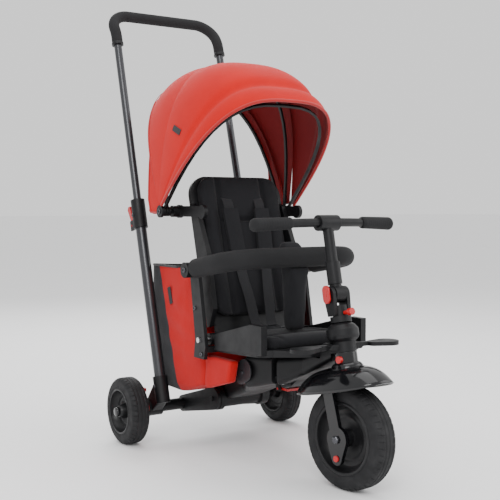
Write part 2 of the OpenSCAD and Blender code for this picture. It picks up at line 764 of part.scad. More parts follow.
// Steering yoke, folding stem and handlebar.
module steering_yoke() {
    color("black") placed() in_steering() {
        translate([0, 0, -8]) cylinder(h = head_top + 9, r = 9);
        difference() {
            union() {
                translate([0, 0, head_top + pass_c]) cylinder(h = 12, r = 21);
                translate([0, 0, head_top + 12]) cylinder(h = yoke_top - head_top - 14, r = 15);
                both_sides() hull() {
                    translate([0, fold_y, fold_z]) along_x(16, 13, 21, facet_fn);
                    translate([13, -9, yoke_top - 22]) cube([8, 22, 4]);
                }
            }
            translate([0, fold_y, fold_z]) along_x(pin_r + fix_c, -30, 30);
            translate([0, fold_y, fold_z]) along_x(18.5, -12.6, 12.6);
            translate([0, -8, yoke_top - 18]) rotate([90, 0, 0]) cylinder(h = 20, r = 4 + run_c);
        }
    }
}
module yoke_pin() {
    color("black") placed() in_steering() translate([0, fold_y, fold_z]) along_x(pin_r, -15, 22);
}
module stem() {
    color("black") placed() in_steering() difference() {
        union() {
            translate([0, fold_y, fold_z]) along_x(17.5, -12, 12);
            translate([0, fold_y, fold_z]) cylinder(h = 66, r = 12);
            translate([0, fold_y, fold_z + 20]) cylinder(h = 44, r = 14.5);
            translate([0, fold_y, fold_z]) cylinder(h = stem_top - fold_z, r = 11);
            translate([0, fold_y, stem_top]) along_x(16, -24, 24);
        }
        translate([0, fold_y, fold_z]) along_x(pin_r + run_c, -30, 30);
        translate([0, fold_y, stem_top]) along_x(handlebar_d/2 + fix_c, -30, 30);
    }
}
module stem_button() {
    color("red") placed() in_steering() translate([0, fold_y, fold_z]) {
        translate([-27.5, 0, 0]) rotate([0, 90, 0]) linear_extrude(4) round_rect(36, 20, 9.9);
        along_x(pin_r - 0.1, -24, -16.8);
    }
}
module handlebar_line(r, x0, x1) {
    in_steering() translate([0, fold_y, stem_top]) along_x(r, x0, x1);
}
grip_len = 88;
module handlebar() {
    color("black") placed() {
        handlebar_line(handlebar_d/2, -handlebar_w/2 + 6, handlebar_w/2 - 6);
    }
}
module handlebar_grips() {
    color("black") placed() both_sides() difference() {
        handlebar_line(handlebar_grip_d/2, handlebar_w/2 - grip_len, handlebar_w/2);
        handlebar_line(handlebar_d/2 + fix_c, handlebar_w/2 - grip_len - 1, handlebar_w/2 - 6);
    }
}
module pull_knob() {
    color("red") placed() in_steering() translate([0, -8.5, yoke_top - 18]) rotate([90, 0, 0]) {
        cylinder(h = 22, r = 4);
        translate([0, 0, 20]) cylinder(h = 10, r = 7);
    }
}
module brake_pedal() {
    inner = handle_w/2 + foot_half + 1;
    color("firebrick") placed() translate([0, 0, rear_r]) difference() {
        union() {
            along_x(beam_r + 5, -inner - 14, -inner);
            side_plate(-inner - 14, -inner)
                polygon([[-6, 8], [10, 8], [44, 34], [40, 42], [0, 24]]);
            translate([-inner - 14, 30, 32]) cube([30, 14, 8]);
        }
        along_x(beam_r + run_c, -300, 0);
    }
}

rear_tyre(-1);  // rear_tyre_right
rear_tyre(1);  // rear_tyre_left
rear_rim(-1);  // rear_rim_right
rear_rim(1);  // rear_rim_left
rear_axle();
axle_caps();
axle_beam();
tube_foot(-1);  // tube_foot_right
tube_foot(1);  // tube_foot_left
lower_tubes();
clamp_sleeves();
release_lever(-1);  // release_lever_right
release_lever(1);  // release_lever_left
handle_tube();
handle_foam();
rear_links();
drum();
body_shell();
body_side_panels();
seat_pan();
seat_pad();
seat_arms();
recline_pin();
backrest_shell();
back_pad();
shoulder_straps();
lap_belt();
buckle();
canopy_arms();
canopy_pivots();
canopy_rear_bow();
canopy_mid_bow();
canopy_front_bow();
canopy_rear_panel();
canopy_mid_panel();
canopy_front_panel();
bar_tube();
bar_foam();
bar_pivots();
crotch_post();
storage_bag();
neck_shell();
neck_pin();
fold_lever();
footrest(-1);  // footrest_right
footrest(1);  // footrest_left
fork();
fender();
steer_lock();
front_tyre();
front_rim();
clutch_button();
steering_yoke();
yoke_pin();
stem();
stem_button();
handlebar();
handlebar_grips();
pull_knob();
brake_pedal();
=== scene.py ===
"""Looks of the children's tricycle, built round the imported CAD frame. Metres. Front -Y, up +Z."""
import math

import bmesh
import bpy
import numpy as np
from mathutils import Matrix, Vector, noise
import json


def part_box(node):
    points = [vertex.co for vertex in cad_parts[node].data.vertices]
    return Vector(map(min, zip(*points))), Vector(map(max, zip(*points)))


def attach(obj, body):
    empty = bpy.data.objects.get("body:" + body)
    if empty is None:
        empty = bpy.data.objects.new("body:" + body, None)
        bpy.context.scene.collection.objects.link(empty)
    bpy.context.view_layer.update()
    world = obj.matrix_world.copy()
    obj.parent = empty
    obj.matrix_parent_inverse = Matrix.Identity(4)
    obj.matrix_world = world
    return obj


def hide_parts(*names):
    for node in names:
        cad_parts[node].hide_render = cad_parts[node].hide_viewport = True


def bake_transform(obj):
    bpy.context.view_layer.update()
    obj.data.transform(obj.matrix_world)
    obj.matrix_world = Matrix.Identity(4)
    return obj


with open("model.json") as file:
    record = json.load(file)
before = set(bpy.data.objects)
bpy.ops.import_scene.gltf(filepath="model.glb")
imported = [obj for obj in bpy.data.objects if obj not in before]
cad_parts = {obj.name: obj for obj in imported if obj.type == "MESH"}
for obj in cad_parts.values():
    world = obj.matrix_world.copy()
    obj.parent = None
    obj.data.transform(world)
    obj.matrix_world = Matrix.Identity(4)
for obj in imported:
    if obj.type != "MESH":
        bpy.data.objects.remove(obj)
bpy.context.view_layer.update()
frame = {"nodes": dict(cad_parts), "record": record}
NODES = frame["nodes"]

# ---------------------------------------------------------------- places
# SHIFT carries y = 0 from the rear axle to the frame's own middle.
axle_lo, axle_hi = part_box("rear_axle")
SHIFT = (axle_lo.y + axle_hi.y) / 2
RAKE, LEAN, STEER_REST = 12.5, 15.3, 8.0
TRAIL, HEAD_Z, HUB_Z, STEER_Y = 0.017, 0.283, -0.182388, -0.52996
SHARP = 32


def rad(a):
    return math.radians(a)


def place(y, z, angle):
    """A part's own frame: y behind the rear axle, z up, tipped angle degrees about X."""
    return Matrix.Translation((0, SHIFT + y, z)) @ Matrix.Rotation(rad(angle), 4, "X")


HANDLE = place(0.076, 0.559, -LEAN)
STEER = place(STEER_Y, HEAD_Z, -RAKE)
FORK = STEER @ Matrix.Rotation(rad(STEER_REST), 4, "Z")
WHEEL = FORK @ Matrix.Translation((0, TRAIL, HUB_Z))
SEAT = place(-0.330, 0.258, -4)
BACK = place(-0.215, 0.262, -15)
BAR = place(-0.190, 0.413, -9.4)
CANOPY = place(-0.095, 0.540, 0)
GROUND = Matrix.Translation((0, SHIFT, 0))


# ---------------------------------------------------------------- materials
class Shader:
    """A Principled material and short ways to add procedural nodes to it."""

    def __init__(self, name):
        self.m = bpy.data.materials.new(name)
        self.m.use_nodes = True
        self.t = self.m.node_tree
        self.b = self.t.nodes["Principled BSDF"]
        self.co = self.t.nodes.new("ShaderNodeTexCoord").outputs["Object"]

    def link(self, a, b):
        self.t.links.new(a, b)

    def put(self, socket, value):
        if hasattr(value, "links"):
            self.link(value, socket)
        else:
            socket.default_value = value

    def node(self, kind, values=(), **props):
        n = self.t.nodes.new("ShaderNode" + kind)
        for k, v in props.items():
            setattr(n, k, v)
        for k, v in values:
            self.put(n.inputs[k], v)
        return n

    def scaled(self, x, y, z):
        """Object coordinates stretched along X, Y and Z."""
        return self.node("Mapping", [("Vector", self.co), ("Scale", (x, y, z))]).outputs[0]

    def noise(self, scale, detail=3.0, rough=0.5, vector=None):
        n = self.node("TexNoise", [("Vector", vector or self.co), ("Scale", scale),
                                   ("Detail", detail), ("Roughness", rough)])
        return n.outputs["Fac"]

    def math(self, op, a, b=0.5):
        return self.node("Math", [(0, a), (1, b)], operation=op).outputs[0]

    def ramp(self, fac, a, b, lo=0.0, hi=1.0):
        """Carries fac from lo to hi over to a to b."""
        n = self.node("MapRange", [("Value", fac), ("From Min", lo), ("From Max", hi),
                                   ("To Min", a), ("To Max", b)])
        return n.outputs[0]

    def mix(self, fac, a, b):
        n = self.node("Mix", data_type="RGBA")
        self.put(n.inputs[0], fac)
        self.put(n.inputs[6], a if hasattr(a, "links") else (*a, 1.0))
        self.put(n.inputs[7], b if hasattr(b, "links") else (*b, 1.0))
        return n.outputs[2]

    def bump(self, height, strength, distance, normal=None):
        n = self.node("Bump", [("Height", height), ("Strength", strength),
                               ("Distance", distance)])
        if normal is not None:
            self.link(normal, n.inputs["Normal"])
        return n.outputs[0]

    def bevel(self, radius):
        return self.node("Bevel", [("Radius", radius)], samples=4).outputs[0]

    def done(self, **inputs):
        for k, v in inputs.items():
            self.put(self.b.inputs[k.replace("_", " ")], v)
        return self.m


def times(color, gain, lift=0.0):
    return tuple(c * gain + lift for c in color)


def plastic(name, color, rough=0.5, grain=0.25, coat=0.0, spec=0.3):
    """Moulded plastic with a fine grain, a faint cloudiness and a little dust."""
    s = Shader(name)
    soft = s.noise(9, 4)
    fine = s.noise(900, 2)
    dust = s.ramp(s.noise(26, 6, 0.65), 0, 0.12, 0.45, 0.75)
    col = s.mix(soft, times(color, 0.82), color)
    col = s.mix(dust, col, times(color, 0.85, 0.018))
    n = s.bump(s.noise(14, 2), 0.06, 0.002, s.bevel(0.0012))
    n = s.bump(fine, grain, 0.00035, n)
    worn = s.ramp(s.noise(40, 5), rough - 0.07, rough + 0.09, 0.3, 0.7)
    return s.done(Base_Color=col, Roughness=worn, Normal=n, Coat_Weight=coat,
                  Coat_Roughness=0.08, Specular_IOR_Level=spec)


def metal(name, color, rough=0.28):
    """Turned metal, streaked round X."""
    s = Shader(name)
    streak = s.noise(1.0, 3, 0.6, s.scaled(900, 40, 40))
    col = s.mix(s.noise(30, 4), times(color, 0.86), color)
    n = s.bump(streak, 0.12, 0.0002, s.bevel(0.0006))
    return s.done(Base_Color=col, Metallic=1.0,
                  Roughness=s.ramp(streak, rough - 0.06, rough + 0.1), Normal=n)


def paint(name, color, rough=0.3):
    """Metallic paint on tube, with flakes, faint wear and a clear coat."""
    s = Shader(name)
    flake = s.noise(2600, 1)
    col = s.mix(s.ramp(flake, 0, 1, 0.45, 0.7), color, times(color, 1.5, 0.02))
    wear = s.ramp(s.noise(60, 6, 0.7), 0, 1, 0.66, 0.74)
    col = s.mix(s.math("MULTIPLY", wear, 0.25), col, times(color, 1.0, 0.06))
    n = s.bump(s.noise(220, 2), 0.05, 0.0004, s.bevel(0.0005))
    return s.done(Base_Color=col, Metallic=0.65,
                  Roughness=s.ramp(s.noise(50, 4), rough - 0.05, rough + 0.08),
                  Normal=n, Coat_Weight=0.35, Coat_Roughness=0.12)


def foam(name, color):
    """Closed-cell foam."""
    s = Shader(name)
    cells = s.node("TexVoronoi", [("Vector", s.co), ("Scale", 620)]).outputs["Distance"]
    col = s.mix(s.noise(30, 5), times(color, 0.7), times(color, 1.25))
    n = s.bump(s.noise(35, 4), 0.15, 0.0015)
    n = s.bump(cells, 0.45, 0.0004, n)
    return s.done(Base_Color=col, Roughness=0.86, Normal=n, Specular_IOR_Level=0.3)


def rubber(name, color):
    """Dusty matt rubber."""
    s = Shader(name)
    dust = s.ramp(s.noise(34, 7, 0.7), 0, 0.5, 0.45, 0.72)
    col = s.mix(dust, color, times(color, 1.5, 0.014))
    n = s.bump(s.noise(480, 3), 0.3, 0.0003, s.bevel(0.0006))
    return s.done(Base_Color=col, Roughness=s.ramp(s.noise(60, 4), 0.6, 0.8, 0.3, 0.7), Normal=n,
                  Specular_IOR_Level=0.28)


def weave_height(s, pitch):
    """Threads that cross every pitch metres."""
    k = 2 * math.pi / pitch
    parts = s.node("SeparateXYZ", [("Vector", s.co)]).outputs
    waves = [s.math("SINE", s.math("MULTIPLY", parts[i], k)) for i in range(3)]
    pair = s.math("MULTIPLY", waves[0], waves[2])
    return s.math("ADD", pair, s.math("MULTIPLY", waves[1], s.math("ADD", waves[0], waves[2])))


def cloth(name, color, pitch=0.0016, wrinkle=0.35, painted_shade_inside=None, strip=None, sheen=0.25):
    """Woven polyester. A darker colour, if given, goes on the back faces as painted shade; strip(s)
    masks a second colour.
    """
    s = Shader(name)
    col = s.mix(s.noise(16, 5), times(color, 0.86), times(color, 1.08))
    if strip:
        mask, other = strip(s)
        col = s.mix(mask, col, other)
    # Back faces take the darker colour: painted shade.
    if painted_shade_inside:
        back = s.node("NewGeometry").outputs["Backfacing"]
        col = s.mix(back, col, painted_shade_inside)
    thread = weave_height(s, pitch)
    col = s.mix(s.ramp(thread, 0, 0.18, -1, 1), col, (0.0, 0.0, 0.0))
    n = s.bump(s.noise(11, 3, 0.5), wrinkle, 0.006)
    n = s.bump(s.noise(42, 4, 0.55), wrinkle * 0.5, 0.0018, n)
    n = s.bump(thread, 0.18, 0.0003, n)
    return s.done(Base_Color=col, Roughness=0.8, Normal=n, Sheen_Weight=sheen,
                  Sheen_Roughness=0.5, Specular_IOR_Level=0.15)


def bag_strip(s):
    """The bag's dark front: everything ahead of a line that leans with the backrest."""
    parts = s.node("SeparateXYZ", [("Vector", s.co)]).outputs
    line = s.math("SUBTRACT", parts[1], s.math("MULTIPLY", parts[2], 0.33))
    mask = s.ramp(line, 0, 1, SHIFT - 0.1286, SHIFT - 0.1266)
    return mask, (0.022, 0.022, 0.025)


RED, BAG_RED = (0.56, 0.004, 0.003), (0.48, 0.006, 0.006)
M = {
    "tyre": rubber("tyre", (0.010, 0.010, 0.011)),
    "rim": plastic("rim", (0.008, 0.008, 0.009), 0.36, 0.15),
    "steel": metal("steel", (0.66, 0.66, 0.67), 0.25),
    "tube": paint("tube", (0.030, 0.031, 0.035), 0.3),
    "black_plastic": plastic("black_plastic", (0.006, 0.006, 0.007), 0.44, 0.3, spec=0.26),
    "gloss_black": plastic("gloss_black", (0.004, 0.004, 0.005), 0.14, 0.02, coat=0.35),
    "red_plastic": plastic("red_plastic", (0.50, 0.012, 0.014), 0.3, 0.1, coat=0.3),
    "foam": foam("foam", (0.011, 0.011, 0.012)),
    "pad_fabric": cloth("pad_fabric", (0.012, 0.012, 0.014), 0.0018, 0.45, sheen=0.06),
    "webbing": cloth("webbing", (0.020, 0.020, 0.022), 0.0022, 0.1, sheen=0.1),
    # Painted shade: the back faces, the hood's underside, are a darker red.
    "red_fabric": cloth("red_fabric", RED, 0.0011, 0.3, painted_shade_inside=(0.20, 0.006, 0.008),
                        sheen=0.08),
    "dark_red_fabric": cloth("dark_red_fabric", BAG_RED, 0.0012, 0.5, strip=bag_strip,
                             sheen=0.08),
    "grey_plastic": plastic("grey_plastic", (0.022, 0.022, 0.025), 0.36, 0.2),
    "bag_red": cloth("bag_red", BAG_RED, 0.0012, 0.5, sheen=0.08),
    "piping": cloth("piping", (0.020, 0.018, 0.020), 0.0012, 0.1),
    "red_piping": cloth("red_piping", (0.42, 0.018, 0.018), 0.0012, 0.1),
    "bolt": metal("bolt", (0.10, 0.10, 0.11), 0.36),
    "label": plastic("label", (0.020, 0.020, 0.022), 0.35, 0.1),
}

slots = {p["node"]: p["material_slot"] for p in frame["record"]["subparts"]}
for name, o in NODES.items():
    o.data.materials.clear()
    o.data.materials.append(M[slots[name]])
    o.data.shade_smooth()
    o.data.set_sharp_from_angle(angle=rad(SHARP))


# ---------------------------------------------------------------- meshes
def add(name, verts, faces, material, matrix=None, angle=40):
    """A new mesh object, smooth but for edges sharper than angle."""
    me = bpy.data.meshes.new(name)
    me.from_pydata([tuple(v) for v in verts], [], faces)
    if matrix is not None:
        me.transform(matrix)
    me.validate()
    bm = bmesh.new()
    bm.from_mesh(me)
    bmesh.ops.recalc_face_normals(bm, faces=bm.faces)
    bm.to_mesh(me)
    bm.free()
    me.shade_smooth()
    me.set_sharp_from_angle(angle=rad(angle))
    o = bpy.data.objects.new(name, me)
    bpy.context.scene.collection.objects.link(o)
    me.materials.append(M[material])
    return o


def put(o, body, replaces=()):
    """Rides o on a body and the CAD nodes that it stands for."""
    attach(o, body)
    if replaces:
        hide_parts(*replaces)
    return o


def thicken(o, wall):
    mod = o.modifiers.new("wall", "SOLIDIFY")
    mod.thickness, mod.offset = wall, -1


def face_out(o, centre):
    """Turns the faces of an open sheet away from centre."""
    if sum((p.center - centre).dot(p.normal) for p in o.data.polygons) < 0:
        o.data.flip_normals()


def grid_faces(rows, cols, wrap_cols=False, wrap_rows=False):
    """Quads over rows of cols points, closed on itself where wrapped."""
    faces = []
    for i in range(rows - (0 if wrap_rows else 1)):
        for j in range(cols - (0 if wrap_cols else 1)):
            a, b = i * cols + j, i * cols + (j + 1) % cols
            c, d = ((i + 1) % rows) * cols + (j + 1) % cols, ((i + 1) % rows) * cols + j
            faces.append((a, b, c, d))
    return faces


def lathe(name, profile, steps, material, matrix, dent=None, closed=True):
    """Turns (along X, radius) points round X; dent(i, angle) lowers point i's radius."""
    verts = []
    for k in range(steps):
        a = 2 * math.pi * k / steps
        for i, (x, r) in enumerate(profile):
            rr = r - (dent(i, a) if dent else 0.0)
            verts.append((x, rr * math.cos(a), rr * math.sin(a)))
    n = len(profile)
    faces = []
    for k in range(steps):
        for i in range(n if closed else n - 1):
            j, k2 = (i + 1) % n, (k + 1) % steps
            faces.append((k * n + i, k * n + j, k2 * n + j, k2 * n + i))
    return add(name, verts, faces, material, matrix, angle=34)


def tube(name, points, radius, material, matrix, sides, closed=False, flat=1.0, up=(0, 0, 1)):
    """A swept tube; flat under 1 squeezes it along the sweep's own normal."""
    p = [Vector(q) for q in points]
    n = len(p)
    verts = []
    side = None
    for i in range(n):
        a = p[(i - 1) % n if closed else max(i - 1, 0)]
        b = p[(i + 1) % n if closed else min(i + 1, n - 1)]
        d = (b - a).normalized()
        if side is None:
            side = d.cross(Vector(up)).normalized()
        side = (side - d * side.dot(d)).normalized()
        nor = side.cross(d).normalized()
        for k in range(sides):
            t = 2 * math.pi * (k + 0.5) / sides
            verts.append(p[i] + side * (radius * math.cos(t)) + nor * (radius * flat * math.sin(t)))
    faces = grid_faces(n, sides, wrap_cols=True, wrap_rows=closed)
    if not closed:
        faces.append(tuple(range(sides))[::-1])
        faces.append(tuple((n - 1) * sides + k for k in range(sides)))
    return add(name, verts, faces, material, matrix)


def ribbon(name, points, width, thick, across, material):
    """A flat strap with rounded edges along points; across is the width's direction."""
    p = [Vector(q) for q in points]
    across = Vector(across).normalized()
    ring = [(-1, 0), (-0.94, 0.8), (-0.6, 1), (0, 1), (0.6, 1), (0.94, 0.8),
            (1, 0), (0.94, -0.8), (0.6, -1), (0, -1), (-0.6, -1), (-0.94, -0.8)]
    verts = []
    for i, q in enumerate(p):
        d = (p[min(i + 1, len(p) - 1)] - p[max(i - 1, 0)]).normalized()
        n = d.cross(across).normalized()
        verts += [q + across * (u * width / 2) + n * (v * thick / 2) for u, v in ring]
    faces = grid_faces(len(p), len(ring), wrap_cols=True)
    faces.append(tuple(range(len(ring)))[::-1])
    faces.append(tuple((len(p) - 1) * len(ring) + k for k in range(len(ring))))
    return add(name, verts, faces, material)


def smooth_line(points, per=8):
    """Catmull-Rom points through the given ones."""
    p = [Vector(q) for q in points]
    p = [p[0] * 2 - p[1], *p, p[-1] * 2 - p[-2]]
    out = []
    for i in range(1, len(p) - 2):
        for k in range(per):
            t = k / per
            a, b, c, d = p[i - 1], p[i], p[i + 1], p[i + 2]
            out.append(0.5 * ((2 * b) + (c - a) * t + (2 * a - 5 * b + 4 * c - d) * t * t
                              + (3 * b - a - 3 * c + d) * t ** 3))
    out.append(p[-2])
    return out


def bolt(name, at, direction, body, r, h=0.003):
    """A round socket-head screw whose head stands h out of the surface."""
    d = Vector(direction).normalized()
    rot = Vector((1, 0, 0)).rotation_difference(d).to_matrix().to_4x4()
    prof = [(0, 0.0001), (0, r), (h * 0.55, r), (h * 0.9, r * 0.86), (h, r * 0.7),
            (h, r * 0.46), (h * 0.3, r * 0.44), (h * 0.3, 0.0001)]
    o = lathe(name, prof, 24, "bolt", Matrix.Translation(Vector(at)) @ rot, closed=False)
    return put(o, body)


def pair(side):
    return "right" if side < 0 else "left"


# ---------------------------------------------------------------- wheels
REAR_X, REAR_R, REAR_W, REAR_BEAD = 0.214, 0.077, 0.044, 0.053
FRONT_R, FRONT_W, FRONT_BEAD = 0.101, 0.050, 0.072
AXLE_BORE = 0.0051
GROOVE, CUT = 0.0013, 0.0015
REAR = {s: GROUND @ Matrix.Translation((s * REAR_X, 0, REAR_R)) for s in (-1, 1)}


def arc(cx, cr, radius, start, step, count=11):
    """Points (along X, radius) round (cx, cr), every step degrees from start."""
    turns = [rad(start + step * k) for k in range(count)]
    return [(cx + radius * math.cos(t), cr + radius * math.sin(t)) for t in turns]


def tyre_profile(r, w, bead, shoulder):
    """A tyre's section: beads, side walls, round shoulders and a flat crown."""
    half, core = w / 2, r - shoulder
    flat = half - shoulder
    wall = [(half, core - 0.003), (half + 0.0006, bead + (core - bead) * 0.35),
            (half, bead + 0.004), (half, bead)]
    crown = [(-flat + 2 * flat * k / 12, r) for k in range(1, 12)]
    return ([(-x, y) for x, y in wall[::-1]] + arc(-flat, core, shoulder, 180, -9)
            + crown + arc(flat, core, shoulder, 90, -9) + wall)


def tread_tyre(name, r, w, bead, shoulder, blocks, matrix, body, node, steps):
    """A tyre with grooves round its crown and blocks cut into both shoulders."""
    prof = tyre_profile(r, w, bead, shoulder)

    def dent(i, a):
        x, rr = prof[i]
        edge = abs(x) / (w / 2)
        if rr < r - shoulder * 0.75 or edge >= 0.93:
            return 0.0
        groove = GROOVE if abs(edge - 0.40) < 0.075 or edge < 0.05 else 0.0
        turn = (a / (2 * math.pi) * blocks + (0.5 if x > 0 else 0.0) + edge * 0.35) % 1.0
        cut = CUT if turn < 0.17 and edge > 0.42 else 0.0
        return max(groove, cut)

    return put(lathe(name, prof, steps, "tyre", matrix, dent), body, [node])


def rim_lip(name, side, ring, steps, matrix, body):
    """A rim's rolled edge on one side; ring holds (from the wheel's middle, radius)."""
    o = lathe(name, [(side * x, r) for x, r in ring], steps, "rim", matrix)
    return put(o, body)


def dished_rim(name, bead, w, hub_half, matrix, body, node, bore=AXLE_BORE):
    """A moulded disc: rolled lips, a stepped dish on both sides and a hub that holds the axle."""
    half = w / 2
    side = [(hub_half, bore), (hub_half, bore + 0.0065), (hub_half - 0.0012, bore + 0.0080),
            (hub_half - 0.006, bore + 0.0095), (0.0062, bore + 0.0125), (0.0052, bore + 0.0150),
            (0.0052, bead * 0.50), (0.0066, bead * 0.53), (0.0072, bead * 0.58),
            (0.0066, bead * 0.63), (0.0058, bead * 0.66), (0.0066, bead * 0.76),
            (0.0110, bead * 0.83), (half - 0.004, bead * 0.885), (half + 0.0004, bead * 0.905),
            (half + 0.0014, bead * 0.93), (half + 0.0010, bead * 0.965),
            (half - 0.0012, bead - 0.0005)]
    prof = side + [(-x, r) for x, r in side[::-1]]
    return put(lathe(name, prof, 120, "rim", matrix), body, [node])


def rear_wheel(s):
    """A rear tyre, the five screws of its disc and its outer lip."""
    side, body = pair(s), "rear_wheel_" + pair(s)
    tread_tyre(f"tread_rear_{side}", REAR_R, REAR_W, REAR_BEAD, 0.012, 40, REAR[s], body,
               f"rear_tyre_{side}", 480)
    for k in range(5):
        a = rad(72 * k + 36)
        at = REAR[s] @ Vector((s * 0.0035, 0.024 * math.cos(a), 0.024 * math.sin(a)))
        bolt(f"rear_wheel_screw_{side}_{k}", at, (s, 0, 0), body, 0.0028, 0.0016)
    lip = [(0.0195, 0.0475), (0.0232, 0.0480), (0.0236, 0.0500), (0.0222, 0.0526),
           (0.0195, 0.0526)]
    rim_lip(f"rear_rim_lip_{side}", s, lip, 96, REAR[s], body)


def front_wheel():
    """The front tyre and both of its rim's lips."""
    tread_tyre("tread_front", FRONT_R, FRONT_W, FRONT_BEAD, 0.014, 48, WHEEL, "front_wheel",
               "front_tyre", 576)
    lip = [(0.021, 0.0650), (0.0262, 0.0660), (0.0268, 0.0690), (0.0252, 0.0716),
           (0.021, 0.0716)]
    for s in (-1, 1):
        rim_lip(f"front_rim_lip_{pair(s)}", s, lip, 120, WHEEL, "front_wheel")


def fender():
    """One smooth dome, open over the tyre, with a rolled edge and a collar round the fork."""
    turn, steps, power = 96, 26, 2.6
    verts = []
    for k in range(steps + 1):
        q = k / steps
        for m in range(turn):
            a = 2 * math.pi * m / turn
            c, d = math.cos(a), math.sin(a)
            lim = (abs(c) ** power + abs(d) ** power) ** (-1 / power)
            x, y = 0.0585 * q * lim * c, 0.1125 * q * lim * d
            z = 0.139 - 0.012 * q ** 1.5 - 0.033 * q ** 4.2
            tip = max(0.0, abs(d) ** 3) * q ** 3
            verts.append((x, y - 0.008 * (1 - q), z + 0.004 * tip - 0.004 * q ** 8 * (1 - tip)))
    faces = grid_faces(steps + 1, turn, wrap_cols=True)
    dome = add("fender_dome", verts, faces, "gloss_black", WHEEL, angle=60)
    thicken(dome, 0.0028)
    face_out(dome, WHEEL.translation)
    put(dome, "fork", ["fender"])
    ring = [(0.130, 0.0232), (0.130, 0.0330), (0.1365, 0.0318), (0.1415, 0.0285),
            (0.1440, 0.0250), (0.1440, 0.0232)]
    upright = WHEEL @ Matrix.Translation((0, -TRAIL, 0)) @ Matrix.Rotation(rad(-90), 4, "Y")
    put(lathe("fender_collar", ring, 72, "gloss_black", upright), "fork")


rear_wheel(-1)
rear_wheel(1)
front_wheel()
for s in (-1, 1):
    dished_rim(f"disc_rear_{pair(s)}", REAR_BEAD, REAR_W, 0.024, REAR[s],
               "rear_wheel_" + pair(s), f"rear_rim_{pair(s)}")
dished_rim("disc_front", FRONT_BEAD, FRONT_W, 0.0285, WHEEL, "front_wheel", "front_rim")
fender()

# ---------------------------------------------------------------- hood
POWER = 3.0


def arch(a, b, t):
    """The bows' shape: a squared half ellipse, a wide and b high, at angle t."""
    c, q = math.cos(t), math.sin(t)
    x = a * math.copysign(abs(c) ** (2 / POWER), c)
    return x, b * max(q, 0.0) ** (2 / POWER)


def canopy_point(a, b, t, ang):
    """A point of the arch, tilted ang degrees forward of upright about the hood's pivot."""
    x, r = arch(a, b, t)
    return Vector((x, -r * math.sin(rad(ang)), r * math.cos(rad(ang))))


def skirt(t, b):
    """The rear gore's lower edge: it falls almost straight down beside the seat."""
    r = max(arch(0.17, b, t)[1], 1e-4)
    depth = 0.070 + 0.149 * math.sin(t) ** 4
    if r < depth:
        return -90 - 12 * (1 - r / depth)
    return -max(28.6, math.degrees(math.asin(depth / r)))


def puff(v):
    """A gore between two bows swells a little."""
    return -0.0030 * math.sin(math.pi * v)


def brim(v):
    """The front gore: full behind its hidden bow, a valley over the bow, then a flared brim."""
    valley = 0.0085 * math.exp(-((v - 0.74) / 0.055) ** 2)
    full = 0.0045 * math.sin(math.pi * min(1, v / 0.74)) ** 0.8
    return valley - full - 0.0030 * math.exp(-((v - 0.90) / 0.08) ** 2)


def panel(name, a, b, a0, a1, sag, back_drop, body, nodes, rows=44, cols=110):
    """One gore, tight over its bows with a little slack between. a0 None is the rear skirt."""
    verts = []
    for i in range(rows + 1):
        v = i / rows
        for j in range(cols + 1):
            u = j / cols
            t = rad(0.7 + 178.6 * u)
            low = skirt(t, b) if a0 is None else a0
            ang = low + (a1 - low) * v
            slack = sag(v) * math.sin(t) ** 0.6 + back_drop * (1 - v) ** 3 * math.sin(t)
            crease = 0.0011 * noise.noise(Vector((u * 9, v * 3.0, a * 7))) * math.sin(math.pi * v)
            pull = 0.0016 * math.sin(u * 52) * math.sin(math.pi * v) * (1 - math.sin(t)) ** 1.2
            verts.append(canopy_point(a - slack * 0.5, b - slack + crease + pull, t, ang))
    o = add(name, verts, grid_faces(rows + 1, cols + 1), "red_fabric", CANOPY)
    face_out(o, CANOPY.translation)
    put(o, body, nodes)
    return o


def hem(name, a, b, ang, r, body, t0=0.8):
    """Piping along the arch; ang None follows the rear gore's lower edge."""
    ts = [rad(t0 + (180 - 2 * t0) * k / 96) for k in range(97)]
    pts = [canopy_point(a, b, t, skirt(t, b) if ang is None else ang) for t in ts]
    return put(tube(name, pts, r, "red_piping", CANOPY, 10, up=(1, 0, 0)), body)


panel("hood_front", 0.182, 0.345, 6, 48, brim, 0.0095, "canopy_front", ["canopy_front_panel"])
panel("hood_middle", 0.176, 0.333, -27, 10, puff, 0.0050, "canopy_mid", ["canopy_mid_panel"])
panel("hood_rear", 0.170, 0.327, None, -23, puff, 0.0, "backrest", ["canopy_rear_panel"])
hem("hood_front_hem", 0.1815, 0.3445, 47.6, 0.0034, "canopy_front")
hem("hood_seam_front", 0.1770, 0.3358, 6.3, 0.0009, "canopy_front")
hem("hood_seam_middle", 0.1738, 0.3292, -26.7, 0.0016, "canopy_mid")
hem("hood_rear_hem", 0.1696, 0.3266, None, 0.0030, "backrest")


# ---------------------------------------------------------------- soft goods
def from_cad(name, node, size, material, rounds=4, factor=0.5):
    """A soft copy of a CAD solid: remeshed to small even faces, with its edges eased."""
    o = bpy.data.objects.new(name, NODES[node].data.copy())
    bpy.context.scene.collection.objects.link(o)
    o.data.materials.clear()
    o.data.materials.append(M[material])
    for key in list(o.keys()):
        del o[key]
    return soften(o, size, rounds, factor)


def soften(o, size, rounds, factor=0.5):
    """Remeshes o to small even faces and eases its edges."""
    mod = o.modifiers.new("remesh", "REMESH")
    mod.mode, mod.voxel_size, mod.use_smooth_shade = "VOXEL", size, True
    mod = o.modifiers.new("smooth", "SMOOTH")
    mod.factor, mod.iterations = factor, rounds
    return bake(o)


def subdivide(o):
    mod = o.modifiers.new("sub", "SUBSURF")
    mod.levels = mod.render_levels = 1
    return bake(o)


def bake(o):
    """Keeps the result of o's modifiers as its mesh."""
    dg = bpy.context.evaluated_depsgraph_get()
    me = bpy.data.meshes.new_from_object(o.evaluated_get(dg))
    o.modifiers.clear()
    o.data = me
    me.shade_smooth()
    return o


def coords(o):
    co = np.zeros(len(o.data.vertices) * 3)
    o.data.vertices.foreach_get("co", co)
    return co.reshape(-1, 3)


